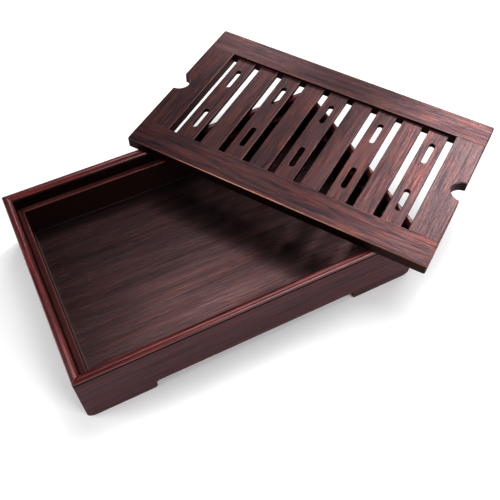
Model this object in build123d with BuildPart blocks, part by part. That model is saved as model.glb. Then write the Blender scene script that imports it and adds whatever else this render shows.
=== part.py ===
from build123d import *
import os

# Gongfu tea tray: a mitred hardwood box on bracket feet, with a slatted drain cover lying askew on its rim.
# Millimetres, +Z up. The origin is the centre of the box's footprint, on the table.

# Box
tray_length = 290.0
tray_width = 185.0
wall_height = 56.7
wall_thickness = 7.5
plan_corner_radius = 1.0

# Bracket feet, cut out of the walls' lower edges
foot_length = 53.5
foot_height = 10.0
foot_corner_radius = 7.0
foot_shoulder_radius = 3.0
arch_spring_radius = 3.0

# Rim moulding on the walls, with a quirk along its outer lower corner
rim_height = 4.3
rim_round_radius = 2.9
rim_round_past_crown = 30.0  # degrees
quirk_depth = 1.4
quirk_height = 1.1

# Floor panel, held in a groove of the walls
floor_top = 17.8
floor_thickness = 5.0
floor_tongue = 3.4
floor_groove_play = 0.6

# Lining boards, which stand on the floor; their top edge is the ledge for the cover
lining_thickness = 4.9
lining_nose_radius = 1.0
lining_back_radius = 0.6

# Drain cover, as large as the box's rebate less a clearance all round
cover_clearance = 1.5
cover_thickness = 9.5
cover_corner_radius = 2.0
cover_outer_arris = 1.0
cover_inner_arris = 0.5
cover_lower_arris = 0.4
long_rail_width = 26.5
end_rail_width = 25.5
notch_radius = 10.0
notch_mouth_radius = 1.0

# Slats of the cover, recessed below its top face
slat_count = 9
slat_width = 17.6
slat_thickness = 4.2
slat_recess = 2.7
slat_arris = 0.5
slot_width = 5.0
slot_length = 25.0
slot_offset = 29.0
slot_arris = 0.3

# Cover joinery
slat_tenon = 5.0
stub_tenon_length = 8.0
stub_tenon_width = 15.0
stub_tenon_thickness = 4.0
tenon_play = 0.1

# Place of the cover as it lies on the rim
cover_centre_x = 114.6
cover_centre_y = 33.0
cover_turn = -55.85  # degrees
cover_rest_gap = 0.3

# Sizes worked out from those above
rim_crown = wall_height + rim_height
ledge_height = wall_height - cover_thickness
floor_underside = floor_top - floor_thickness
cover_length = tray_length - 2 * (wall_thickness + cover_clearance)
cover_width = tray_width - 2 * (wall_thickness + cover_clearance)
opening_length = cover_length - 2 * end_rail_width
opening_width = cover_width - 2 * long_rail_width
slat_gap = (opening_length - slat_count * slat_width) / (slat_count + 1)
slat_pitch = slat_width + slat_gap
slat_underside = cover_thickness - slat_recess - slat_thickness
stub_underside = (cover_thickness - stub_tenon_thickness) / 2

os.makedirs("parts", exist_ok=True)

# The cover's own plane: its underside, with X along its length
cover_plane = Plane(
    origin=(cover_centre_x, cover_centre_y, rim_crown + cover_rest_gap),
    x_dir=Vector(1, 0, 0).rotate(Axis.Z, cover_turn),
    z_dir=(0, 0, 1),
)
across_cover = Axis(cover_plane.origin, cover_plane.y_dir)


def wall_outline(run):
    """A wall board's outline between its bracket feet: one half from mid top to mid bottom, then its mirror."""
    half = run / 2
    foot_end = half - foot_length
    arch_end = foot_end - foot_shoulder_radius - arch_spring_radius
    spring_height = foot_height - arch_spring_radius
    Polyline((0, wall_height), (half, wall_height), (half, foot_corner_radius))
    CenterArc((half - foot_corner_radius, foot_corner_radius), foot_corner_radius, 0, -90)
    Line((half - foot_corner_radius, 0), (foot_end, 0))
    shoulder = CenterArc((foot_end, foot_shoulder_radius), foot_shoulder_radius, -90, -90)
    Line(shoulder @ 1, (foot_end - foot_shoulder_radius, spring_height))
    CenterArc((arch_end, spring_height), arch_spring_radius, 0, 90)
    Line((arch_end, foot_height), (0, foot_height))
    mirror(about=Plane.YZ)


def rim_outline():
    """The rim's section: flat seat, quirk, round outer shoulder and crown, and a gentler inner slope."""
    shoulder = rim_height - rim_round_radius
    Polyline(
        (wall_thickness, 0),
        (quirk_depth, 0),
        (quirk_depth, quirk_height),
        (0, quirk_height),
        (0, shoulder),
    )
    crown = CenterArc((rim_round_radius, shoulder), rim_round_radius, 180, -90 - rim_round_past_crown)
    TangentArc(crown @ 1, (wall_thickness, 0), tangent=crown % 1)


def cut_mitres(elevation, run):
    """Cuts the board in work at 45 degrees through the box's corner at each end of its run."""
    for end in (-1, 1):
        corner = elevation.origin + elevation.x_dir * (end * run / 2)
        split(bisect_by=Plane(corner, z_dir=elevation.z_dir - elevation.x_dir * end), keep=Keep.TOP)


def round_plan_corners():
    """Trims the board in work to the box's plan, with its four small corner rounds."""
    with BuildSketch(Plane.XY) as plan:
        RectangleRounded(tray_length, tray_width, plan_corner_radius)
    extrude(plan.sketch, amount=rim_crown, mode=Mode.INTERSECT)


# Walls, rims and linings, one of each to a side
box_sides = [
    ("front", tray_length, tray_width / 2),
    ("right", tray_width, tray_length / 2),
    ("back", tray_length, tray_width / 2),
    ("left", tray_width, tray_length / 2),
]

for quarter, (side, run, reach) in enumerate(box_sides):
    outward = Vector(0, -1, 0).rotate(Axis.Z, 90 * quarter)
    along = Vector(1, 0, 0).rotate(Axis.Z, 90 * quarter)
    elevation = Plane(outward * reach, x_dir=along, z_dir=outward)
    section = Plane(outward * reach, x_dir=outward * -1, z_dir=along)
    rim_section = Plane(outward * reach + Vector(0, 0, wall_height), x_dir=outward * -1, z_dir=along)

    with BuildPart() as wall:
        with BuildSketch(elevation):
            with BuildLine():
                wall_outline(run)
            make_face()
        extrude(amount=-wall_thickness)
        groove_depth = floor_tongue + floor_groove_play
        with BuildSketch(section):
            with Locations((wall_thickness - groove_depth, floor_underside)):
                Rectangle(groove_depth, floor_thickness, align=Align.MIN)
        extrude(amount=run / 2, both=True, mode=Mode.SUBTRACT)
        cut_mitres(elevation, run)
        round_plan_corners()
    wall.part.label = side + "_wall"
    export_step(wall.part, f"parts/{side}_wall.step")

    with BuildPart() as rim:
        with BuildSketch(rim_section):
            with BuildLine():
                rim_outline()
            make_face()
        extrude(amount=run / 2, both=True)
        cut_mitres(elevation, run)
        round_plan_corners()
    rim.part.label = side + "_rim"
    export_step(rim.part, f"parts/{side}_rim.step")

    with BuildPart() as lining:
        with BuildSketch(section) as lining_section:
            with Locations((wall_thickness, floor_top)):
                Rectangle(lining_thickness, ledge_height - floor_top, align=Align.MIN)
            fillet(lining_section.vertices().sort_by(Axis.X)[:2].sort_by(Axis.Y)[-1], lining_back_radius)
            fillet(lining_section.vertices().sort_by(Axis.X)[-2:].sort_by(Axis.Y)[-1], lining_nose_radius)
        extrude(amount=run / 2, both=True)
        cut_mitres(elevation, run)
    lining.part.label = side + "_lining"
    export_step(lining.part, f"parts/{side}_lining.step")

# Floor panel
with BuildPart() as floor_panel:
    with BuildSketch(Plane.XY.offset(floor_underside)):
        wall_reveal = wall_thickness - floor_tongue
        Rectangle(tray_length - 2 * wall_reveal, tray_width - 2 * wall_reveal)
    extrude(amount=floor_thickness)
floor_panel.part.label = "floor_panel"
export_step(floor_panel.part, "parts/floor_panel.step")


def shape_cover_frame(rail):
    """Gives a rail in work the cover's whole frame: eased arrises, and a finger notch at each end."""
    with BuildSketch(cover_plane) as plan:
        RectangleRounded(cover_length, cover_width, cover_corner_radius)
        with Locations((-cover_length / 2, 0), (cover_length / 2, 0)):
            Circle(notch_radius, mode=Mode.SUBTRACT)
        mouths = plan.vertices().filter_by(lambda v: abs(v.Y) < notch_radius + notch_mouth_radius)
        fillet(mouths, notch_mouth_radius)
    extrude(plan.sketch, amount=cover_thickness)
    fillet(rail.faces().sort_by(Axis.Z)[-1].edges(), cover_outer_arris)
    fillet(rail.faces().sort_by(Axis.Z)[0].edges(), cover_lower_arris)
    with BuildSketch(cover_plane) as opening:
        Rectangle(opening_length, opening_width)
    extrude(opening.sketch, amount=cover_thickness, mode=Mode.SUBTRACT)
    fillet(rail.faces().sort_by(Axis.Z)[-1].inner_wires()[0].edges(), cover_inner_arris)


def slat_places():
    """Middles of the slats along the cover, from its left end to its right."""
    return [(number - (slat_count - 1) / 2) * slat_pitch for number in range(slat_count)]


# Long rails of the cover, mortised for the end rails and the slats
for name, across in (("cover_near_rail", -1), ("cover_far_rail", 1)):
    shoulder_line = across * opening_width / 2
    with BuildPart() as long_rail:
        shape_cover_frame(long_rail)
        with BuildSketch(cover_plane):
            with Locations((0, across * (cover_width - long_rail_width) / 2)):
                Rectangle(cover_length, long_rail_width)
        extrude(amount=cover_thickness, mode=Mode.INTERSECT)
        with BuildSketch(cover_plane.offset(slat_underside - tenon_play)):
            with Locations([(along, shoulder_line) for along in slat_places()]):
                Rectangle(slat_width + 2 * tenon_play, 2 * (slat_tenon + tenon_play))
        extrude(amount=slat_thickness + 2 * tenon_play, mode=Mode.SUBTRACT)
        with BuildSketch(cover_plane.offset(stub_underside - tenon_play)):
            end_rail_middle = (cover_length - end_rail_width) / 2
            with Locations((-end_rail_middle, shoulder_line), (end_rail_middle, shoulder_line)):
                Rectangle(stub_tenon_width + 2 * tenon_play, 2 * (stub_tenon_length + tenon_play))
        extrude(amount=stub_tenon_thickness + 2 * tenon_play, mode=Mode.SUBTRACT)
    long_rail.part.label = name
    export_step(long_rail.part, f"parts/{name}.step")

# End rails of the cover, butted between the long rails and tenoned into them
for name, end in (("cover_left_rail", -1), ("cover_right_rail", 1)):
    with BuildPart() as end_rail:
        shape_cover_frame(end_rail)
        with BuildSketch(cover_plane):
            with Locations((end * (cover_length - end_rail_width) / 2, 0)):
                Rectangle(end_rail_width, opening_width)
        extrude(amount=cover_thickness, mode=Mode.INTERSECT)
        with BuildSketch(cover_plane.offset(stub_underside)):
            with Locations((end * (cover_length - end_rail_width) / 2, 0)):
                Rectangle(stub_tenon_width, opening_width + 2 * stub_tenon_length)
                Rectangle(stub_tenon_width, opening_width, mode=Mode.SUBTRACT)
        extrude(amount=stub_tenon_thickness)
    end_rail.part.label = name
    export_step(end_rail.part, f"parts/{name}.step")

# Slats, slotted and plain by turns, housed in the long rails
for number, along in enumerate(slat_places(), start=1):
    slotted = number % 2 == 1
    with BuildPart() as slat:
        with BuildSketch(cover_plane.offset(slat_underside)):
            with Locations((along, 0)):
                Rectangle(slat_width, opening_width + 2 * slat_tenon)
        extrude(amount=slat_thickness)
        fillet(slat.edges().filter_by(across_cover).group_by(Axis.Z)[-1], slat_arris)
        if slotted:
            with BuildSketch(cover_plane.offset(slat_underside)):
                with Locations((along, -slot_offset), (along, slot_offset)):
                    SlotOverall(slot_length, slot_width, rotation=90)
            extrude(amount=slat_thickness, mode=Mode.SUBTRACT)
            slot_rims = slat.faces().sort_by(Axis.Z)[-1].inner_wires()
            fillet([edge for rim_wire in slot_rims for edge in rim_wire.edges()], slot_arris)
    slat.part.label = f"slat_{number}"
    export_step(slat.part, f"parts/slat_{number}.step")
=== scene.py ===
import math

import bpy
from mathutils import Matrix, Vector


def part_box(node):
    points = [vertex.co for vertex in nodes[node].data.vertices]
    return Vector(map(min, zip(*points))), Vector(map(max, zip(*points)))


# A gongfu tea tray of dark rosewood, its slatted cover lying askew on the rim. Metres, +Z up.
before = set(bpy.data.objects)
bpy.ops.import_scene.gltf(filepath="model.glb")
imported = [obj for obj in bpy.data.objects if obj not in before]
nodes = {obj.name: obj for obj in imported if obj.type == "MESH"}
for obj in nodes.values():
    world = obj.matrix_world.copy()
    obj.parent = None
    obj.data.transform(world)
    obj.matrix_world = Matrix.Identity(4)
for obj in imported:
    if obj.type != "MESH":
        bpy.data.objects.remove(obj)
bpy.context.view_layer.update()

# Camera, as fitted to the photograph's edges
focal_length_px = 664.6
frame_px = 500
camera_elevation = math.radians(55.38)
camera_azimuth = math.radians(-27.13)
camera_roll = math.radians(0.457)
camera_distance = 0.5901
camera_target = Vector((0.0332, -0.0094, 0.0))

# Lights round the tray: azimuth and elevation in degrees, distance, side of the square, watts
key_light = (21.5, 43.0, 1.2, 0.50, 10.1)
top_light = (52.0, 76.0, 1.2, 0.62, 7.4)
side_light = (60.0, 28.0, 1.2, 0.30, 2.2)
front_light = (290.0, 25.0, 1.2, 0.60, 9.5)
fill_light = (180.0, 42.0, 1.2, 0.60, 8.0)
light_target = Vector((0.06, 0.03, 0.03))
white = (1.0, 1.0, 1.0)
world_strength = 0.015

# The floor under the tray
floor_side = 8.0
floor_colour = (0.92, 0.92, 0.92)
floor_roughness = 0.9
floor_specular = 0.1
floor_glow = 0.10

# Layers of the grain: length, width, detail, and a shift that keeps each apart from the others
figure_layer = (0.14, 0.006, 2.0, 0.0)
streak_layer = (0.060, 0.0009, 2.0, 1.3)
hair_layer = (0.030, 0.0004, 1.0, 2.6)
pore_layer = (0.009, 0.00035, 0.0, 3.9)
flush_layer = (0.055, 0.0013, 3.0, 5.2)
flame_layer = (0.070, 0.0030, 2.0, 6.5)
layer_roughness = 0.6
noise_middle = (0.5, 0.5, 0.5)
seed_step = (0.31, 0.17, 0.07)
seed_count = 97
waver_scale = 16.0
waver_detail = 1.0
waver_reach = 0.0016

# How much of each layer is in the wood's tone, and the tone in the middle of the colour ramp
figure_share = 0.34
streak_share = 0.46
hair_share = 0.2
middle_tone = 0.5

# Noise values between which a mark on the wood goes from faint to full
flush_marks = (0.50, 0.70)
flame_marks = (0.50, 0.64)
flame_streaks = (0.35, 0.60)
flame_faintest = 0.2
pore_marks = (0.60, 0.70)
pore_darkness = 0.6
wear_and_highlight_figure = (0.35, 0.60)
wear_and_highlight_faintest = 0.4
rough_streaks = (0.3, 0.7)
rough_swing = 0.05

# Relief: rounded arrises, pores cut in, hair lines raised
edge_radius = 0.0005
edge_samples = 6
pore_height = -0.6
hair_height = 0.4
bump_strength = 0.4
bump_distance = 0.00012

# How level a face is, from 1 on top to 0 upright, where an arris's mark of wear and painted highlight lies
# and where the painted shade begins; then the painted shade's strength and roughness
wear_and_highlight_from_level = (0.99, 0.92)
wear_and_highlight_to_upright = (0.35, 0.60)
upright_painted_shade = (0.45, 0.10)
level_painted_shade = (0.4, 0.7)
painted_shade_and_seam_strength = 0.93
painted_shade_and_seam_roughness = 0.6

# Places of the painted shade and of the floor panel's pale seam line, measured from the edges of the pieces
skin = 0.0004
soft_edge = 0.0006
wall_groove_shade = (0.0011, 0.0007)
rim_groove_shade = (0.0019, 0.0015)
seam_width = 0.0015

# Wear and painted highlight on an arris along a board: everywhere, or coming in this far before the near
# rail's middle
wear_and_highlight_everywhere = (-2.0, -1.0)
near_rail_wear_and_highlight = (0.095, 0.045)


def box_middle(node):
    """Middle of a CAD node's box."""
    low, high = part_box(node)
    return (low + high) / 2


inner_x = -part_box("left_wall")[1].x
inner_y = -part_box("front_wall")[1].y
floor_x = -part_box("left_lining")[1].x
floor_y = -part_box("front_lining")[1].y
wall_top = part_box("front_wall")[1].z
near_rail_middle = box_middle("cover_near_rail")
across_cover = box_middle("cover_far_rail") - near_rail_middle
cover_turn = math.atan2(across_cover.y, across_cover.x) - math.pi / 2
near_rail_place = near_rail_middle.x * math.cos(cover_turn) + near_rail_middle.y * math.sin(cover_turn)


class Graph:
    """One material's node tree, written as calls."""

    def __init__(self, name):
        self.material = bpy.data.materials.new(name)
        self.material.use_nodes = True
        self.tree = self.material.node_tree
        self.shader = self.tree.nodes["Principled BSDF"]

    def feed(self, socket, value):
        """Sets a socket to a number or colour, or links it to another node's output."""
        if isinstance(value, bpy.types.NodeSocket):
            self.tree.links.new(value, socket)
        else:
            socket.default_value = value

    def add(self, kind, inputs=None, **settings):
        """Adds a node; inputs maps its sockets' names or numbers to values or outputs."""
        made = self.tree.nodes.new("ShaderNode" + kind)
        for key, value in settings.items():
            setattr(made, key, value)
        for socket, value in (inputs or {}).items():
            self.feed(made.inputs[socket], value)
        return made

    def math(self, operation, first, second=0.5, third=0.5):
        """A maths node's output."""
        return self.add("Math", {0: first, 1: second, 2: third}, operation=operation).outputs[0]

    def vector(self, operation, first, second):
        """A vector maths node's output; a scaling takes a number as its second value."""
        second_socket = "Scale" if operation == "SCALE" else 1
        made = self.add("VectorMath", {0: first, second_socket: second}, operation=operation)
        return made.outputs["Value" if operation == "DOT_PRODUCT" else 0]

    def axes(self, vector):
        """A vector's three parts, by letter."""
        return self.add("SeparateXYZ", {"Vector": vector}).outputs

    def ramp(self, factor, stops):
        """A colour ramp's output; stops are (place, colour) pairs."""
        made = self.add("ValToRGB", {"Fac": factor})
        elements = made.color_ramp.elements
        while len(elements) < len(stops):
            elements.new(0.5)
        for element, (place, colour) in zip(elements, stops):
            element.position = place
            element.color = (*colour, 1.0)
        return made.outputs["Color"]

    def spread(self, factor, low, high, to_low=0.0, to_high=1.0):
        """A value stretched from low..high onto to_low..to_high, and held at the ends."""
        made = self.add("MapRange", {"Value": factor, "From Min": low, "From Max": high,
                                     "To Min": to_low, "To Max": to_high})
        return made.outputs["Result"]

    def mix(self, factor, first, colour):
        """First mixed towards a plain colour."""
        made = self.add("Mix", {"Factor": factor, 6: first, 7: (*colour, 1.0)}, data_type="RGBA")
        return made.outputs[2]


def wavering(graph, place):
    """Places shifted a little this way and that, so that no grain line is ruler straight."""
    noise = graph.add("TexNoise", {"Vector": place, "Scale": waver_scale, "Detail": waver_detail})
    shift = graph.vector("SUBTRACT", noise.outputs["Color"], noise_middle)
    return graph.vector("ADD", place, graph.vector("SCALE", shift, waver_reach))


def drawn_noise(graph, place, grain, seed, stretch, layer):
    """One layer of the grain: a noise drawn out along it."""
    length, width, detail, shift = layer
    along, across, down = seed_step
    drawn = graph.add("Mapping", {
        "Vector": place, "Location": (along * seed + shift, across * seed, down * seed),
        "Rotation": (0.0, 0.0, grain), "Scale": (length * stretch, width, width),
    }, vector_type="TEXTURE").outputs[0]
    noise = graph.add("TexNoise", {"Vector": drawn, "Scale": 1.0, "Detail": detail,
                                   "Roughness": layer_roughness})
    return noise.outputs[0]


def worn_and_highlit_arris(graph, place, facing, figure, grain, finish):
    """How strong a board's arris mark is, partly wear and partly painted highlight: between its level and
    upright faces, in patches, and along its length.
    """
    below_level = graph.spread(facing, *wear_and_highlight_from_level)
    above_upright = graph.spread(facing, *wear_and_highlight_to_upright)
    patches = graph.spread(figure, *wear_and_highlight_figure, wear_and_highlight_faintest * finish["arris"], finish["arris"])
    along = graph.vector("DOT_PRODUCT", place, (math.cos(grain), math.sin(grain), 0.0))
    wear_and_highlight_mask = graph.math("MULTIPLY", graph.math("MULTIPLY", below_level, above_upright), patches)
    return graph.math("MULTIPLY", wear_and_highlight_mask, graph.spread(along, *finish["wear_and_highlight_span"]))


def rosewood(name, grain, seed, finish):
    """Dark rosewood; grain is its direction in plan, seed moves the figure, finish is one of those below."""
    graph = Graph(name)
    place = graph.add("TexCoord").outputs["Object"]
    facing = graph.axes(graph.add("TexCoord").outputs["Normal"])["Z"]
    wavy = wavering(graph, place)

    def layer(kind):
        """A layer of this piece's grain."""
        return drawn_noise(graph, wavy, grain, seed, finish["long"], kind)

    figure = layer(figure_layer)
    streaks = layer(streak_layer)
    hair = layer(hair_layer)

    body = graph.math("MULTIPLY_ADD", figure, figure_share, graph.math("MULTIPLY", streaks, streak_share))
    body = graph.math("MULTIPLY_ADD", hair, hair_share, body)
    colour = graph.ramp(body, [
        (middle_tone - finish["reach"], finish["dark"]),
        (middle_tone, finish["middle"]),
        (middle_tone + finish["reach"], finish["light"]),
    ])
    flushes = graph.spread(layer(flush_layer), *flush_marks, 0.0, finish["flush"])
    flames = graph.spread(layer(flame_layer), *flame_marks, 0.0, finish["flame"])
    flames = graph.math("MULTIPLY", flames, graph.spread(streaks, *flame_streaks, flame_faintest, 1.0))
    colour = graph.mix(graph.math("MAXIMUM", flushes, flames), colour, finish["red"])
    pores = graph.spread(layer(pore_layer), *pore_marks, 0.0, pore_darkness)
    colour = graph.mix(pores, colour, finish["dark"])
    # The arris mark: a lighter colour, partly wear and partly painted highlight.
    if finish["arris"]:
        colour = graph.mix(worn_and_highlit_arris(graph, place, facing, figure, grain, finish), colour, finish["edge"])

    height = graph.math("MULTIPLY_ADD", pores, pore_height, graph.math("MULTIPLY", hair, hair_height))
    round_normal = graph.add("Bevel", {"Radius": edge_radius}, samples=edge_samples).outputs[0]
    bump = graph.add("Bump", {"Strength": bump_strength, "Distance": bump_distance, "Height": height,
                              "Normal": round_normal})
    roughest = finish["rough"] + rough_swing
    smoothest = finish["rough"] - rough_swing
    roughness = graph.spread(streaks, *rough_streaks, roughest, smoothest)

    # Painted shade mixed over the wood where the finish's mask says, with full metallic and its own
    # roughness; on the floor panel the same mix draws a pale seam line.
    stain = graph.math("MULTIPLY", finish["stained_where"](graph, place, facing), painted_shade_and_seam_strength)
    shader = graph.shader
    graph.feed(shader.inputs["Base Color"], graph.mix(stain, colour, finish["stain"]))
    graph.feed(shader.inputs["Roughness"], graph.spread(stain, 0.0, 1.0, roughness, painted_shade_and_seam_roughness))
    graph.feed(shader.inputs["Metallic"], graph.spread(stain, 0.0, 1.0, finish["fibre"], 1.0))
    graph.feed(shader.inputs["Normal"], bump.outputs[0])
    shader.inputs["Specular IOR Level"].default_value = finish["lacquer"]
    shader.inputs["Specular Tint"].default_value = (*finish["tint"], 1.0)
    return graph.material


def painted_shade_on_upright(graph, place, facing):
    """Painted shade where a face stands upright, as a piece's edges do: these faces are darkened."""
    return graph.spread(graph.math("ABSOLUTE", facing), *upright_painted_shade)


def outside(graph, place, limit_x, limit_y):
    """Where a place in plan lies beyond a rectangle's half sides, with a soft edge."""
    axes = graph.axes(place)
    beyond_x = graph.spread(graph.math("ABSOLUTE", axes["X"]), limit_x, limit_x + soft_edge)
    beyond_y = graph.spread(graph.math("ABSOLUTE", axes["Y"]), limit_y, limit_y + soft_edge)
    return graph.math("MAXIMUM", beyond_x, beyond_y)


def painted_shade_inside(graph, place, facing):
    """Painted shade where a wall looks inward, up into the groove below the rim, or lies next to that groove.
    """
    inward = graph.math("SUBTRACT", 1.0, outside(graph, place, inner_x + skin, inner_y + skin))
    low, high = wall_groove_shade
    by_groove = graph.spread(graph.axes(place)["Z"], wall_top - low, wall_top - high)
    upper = graph.math("MAXIMUM", graph.spread(facing, *level_painted_shade), by_groove)
    return graph.math("MAXIMUM", inward, upper)


def painted_shade_under_rim(graph, place, facing):
    """Painted shade where a rim comes down to the small groove under it."""
    high, low = rim_groove_shade
    return graph.spread(graph.axes(place)["Z"], wall_top + high, wall_top + low)


def floor_seam(graph, place, facing):
    """A pale grey line along the floor panel's edges, where it meets the linings."""
    return outside(graph, place, floor_x - seam_width, floor_y - seam_width)


def wood_finish(dark, middle, light, red, **settings):
    """A finish, in linear colours.

    reach: how far from the middle tone the dark and the light lie; long: stretch of the grain
    flush, flame, arris: strength of the red flushes, the red flames and the arris mark, partly wear and
    partly painted highlight; edge: that arris mark's colour
    fibre: share of coloured sheen that the wood's own fibres give; lacquer and tint: its clear coat
    stain, stained_where: the colour and the places of painted shade over the wood; on the floor panel, of its
    pale seam line
    """
    plain = {
        "long": 1.0, "reach": 0.09, "flush": 0.6, "flame": 0.5, "arris": 0.0, "wear_and_highlight_span": wear_and_highlight_everywhere,
        "rough": 0.30, "lacquer": 0.2, "tint": (1.0, 0.80, 0.79), "stain": (0.009, 0.0040, 0.0034),
    }
    return {**plain, "dark": dark, "middle": middle, "light": light, "red": red, **settings}


cover_finish = wood_finish(
    dark=(0.016, 0.0103, 0.0140), middle=(0.037, 0.0205, 0.0245), light=(0.073, 0.0365, 0.0365),
    red=(0.160, 0.043, 0.031), edge=(0.36, 0.16, 0.11), long=0.55, reach=0.082, flame=0.65, flush=0.65,
    arris=0.25, fibre=0.64, stained_where=painted_shade_on_upright)
# The near rail: a darker copy of the cover's wood as painted shade, and a brighter arris mark, partly wear
# and partly painted highlight, coming in along the rail.
near_rail_shaded_finish = {
    **cover_finish, "dark": (0.014, 0.0090, 0.0123), "middle": (0.0320, 0.0178, 0.0213),
    "light": (0.063, 0.0315, 0.0315), "edge": (0.46, 0.20, 0.13), "arris": 0.7, "reach": 0.070,
    "wear_and_highlight_span": tuple(near_rail_place - before for before in near_rail_wear_and_highlight)}
far_rail_finish = {**cover_finish, "reach": 0.075, "flame": 0.45, "flush": 0.5}
# The right rail: a lighter, less red copy of the cover's wood with a paler tint and weaker red marks, as a
# painted sheen.
right_rail_sheen_finish = {
    **cover_finish, "middle": (0.040, 0.0250, 0.0280), "light": (0.072, 0.0410, 0.0400), "flame": 0.3,
    "flush": 0.35, "reach": 0.13, "tint": (1.0, 0.88, 0.87)}
floor_finish = wood_finish(
    dark=(0.026, 0.0165, 0.0175), middle=(0.048, 0.0280, 0.0290), light=(0.076, 0.0405, 0.0400),
    red=(0.115, 0.0340, 0.0285), flush=0.5, flame=0.3, fibre=0.93, stained_where=floor_seam,
    stain=(0.064, 0.052, 0.048))
wall_finish = wood_finish(
    dark=(0.020, 0.0085, 0.0105), middle=(0.036, 0.0142, 0.0168), light=(0.055, 0.0215, 0.0245),
    red=(0.095, 0.0180, 0.0185), flush=0.7, flame=0.7, rough=0.36, fibre=0.0, lacquer=0.03,
    stained_where=painted_shade_inside)
rim_finish = wood_finish(
    dark=(0.021, 0.0035, 0.005), middle=(0.042, 0.0062, 0.008), light=(0.076, 0.011, 0.011),
    red=(0.170, 0.025, 0.018), flame=0.8, rough=0.22, fibre=0.0, lacquer=0.50, tint=(1.0, 0.68, 0.67),
    stained_where=painted_shade_under_rim)
lining_finish = wood_finish(
    dark=(0.020, 0.006, 0.006), middle=(0.036, 0.010, 0.010), light=(0.054, 0.016, 0.015),
    red=(0.080, 0.018, 0.015), edge=(0.16, 0.036, 0.026), arris=0.7, rough=0.34, fibre=0.3, lacquer=0.15,
    tint=(1.0, 0.68, 0.67), stained_where=painted_shade_on_upright, stain=(0.022, 0.0100, 0.0085))

grain_of_side = {"front": 0.0, "back": 0.0, "left": math.pi / 2, "right": math.pi / 2}
finish_of_kind = {"wall": wall_finish, "rim": rim_finish, "lining": lining_finish}


def dress(node, grain, finish):
    """Gives a CAD node its own piece of wood."""
    seed = sum(map(ord, node)) % seed_count
    mesh = nodes[node].data
    mesh.materials.clear()
    mesh.materials.append(rosewood(node + "_rosewood", grain, seed, finish))


for side, grain in grain_of_side.items():
    for kind, finish in finish_of_kind.items():
        dress(f"{side}_{kind}", grain, finish)
dress("floor_panel", 0.0, floor_finish)
dress("cover_near_rail", cover_turn, near_rail_shaded_finish)
dress("cover_far_rail", cover_turn, far_rail_finish)
dress("cover_right_rail", cover_turn + math.pi / 2, right_rail_sheen_finish)
dress("cover_left_rail", cover_turn + math.pi / 2, cover_finish)
for node in nodes:
    if node.startswith("slat_"):
        dress(node, cover_turn + math.pi / 2, cover_finish)


def stage_floor():
    """A pale floor under the tray."""
    mesh = bpy.data.meshes.new("pale_floor")
    half = floor_side / 2
    corners = [(-half, -half, 0), (half, -half, 0), (half, half, 0), (-half, half, 0)]
    mesh.from_pydata(corners, [], [(0, 1, 2, 3)])
    floor = bpy.data.objects.new("pale_floor", mesh)
    bpy.context.scene.collection.objects.link(floor)
    graph = Graph("pale_floor")
    graph.shader.inputs["Base Color"].default_value = (*floor_colour, 1.0)
    graph.shader.inputs["Roughness"].default_value = floor_roughness
    graph.shader.inputs["Specular IOR Level"].default_value = floor_specular
    graph.shader.inputs["Emission Color"].default_value = (*white, 1.0)
    graph.shader.inputs["Emission Strength"].default_value = floor_glow
    mesh.materials.append(graph.material)


def square_light(name, azimuth, elevation, distance, side, watts):
    """A square area light at a bearing from the tray, and facing it."""
    turn = math.radians(azimuth)
    rise = math.radians(elevation)
    way = Vector((math.cos(turn) * math.cos(rise), math.sin(turn) * math.cos(rise), math.sin(rise)))
    lamp = bpy.data.lights.new(name, "AREA")
    lamp.shape = "SQUARE"
    lamp.size = side
    lamp.energy = watts
    light = bpy.data.objects.new(name, lamp)
    light.location = light_target + way * distance
    light.rotation_euler = (-way).to_track_quat("-Z", "Y").to_euler()
    bpy.context.scene.collection.objects.link(light)


def photograph_camera():
    """The camera at the photograph's place, angle and lens."""
    level = math.cos(camera_elevation)
    rise = math.sin(camera_elevation)
    back = Vector((math.sin(camera_azimuth) * level, -math.cos(camera_azimuth) * level, rise))
    right = Vector((math.cos(camera_azimuth), math.sin(camera_azimuth), 0.0))
    axes = Matrix((right, back.cross(right), back)).transposed().to_4x4()
    lens = bpy.data.cameras.new("photograph_camera")
    lens.lens = focal_length_px / frame_px * lens.sensor_width
    camera = bpy.data.objects.new("photograph_camera", lens)
    placed = Matrix.Translation(camera_target + back * camera_distance)
    camera.matrix_world = placed @ axes @ Matrix.Rotation(camera_roll, 4, "Z")
    bpy.context.scene.collection.objects.link(camera)
    bpy.context.scene.camera = camera


stage_floor()
square_light("key_light", *key_light)
square_light("top_light", *top_light)
square_light("side_light", *side_light)
square_light("front_light", *front_light)
square_light("fill_light", *fill_light)
photograph_camera()

world = bpy.data.worlds.new("pale_world")
world.use_nodes = True
world.node_tree.nodes["Background"].inputs["Color"].default_value = (*white, 1.0)
world.node_tree.nodes["Background"].inputs["Strength"].default_value = world_strength
bpy.context.scene.world = world
bpy.context.scene.view_settings.view_transform = "Standard"
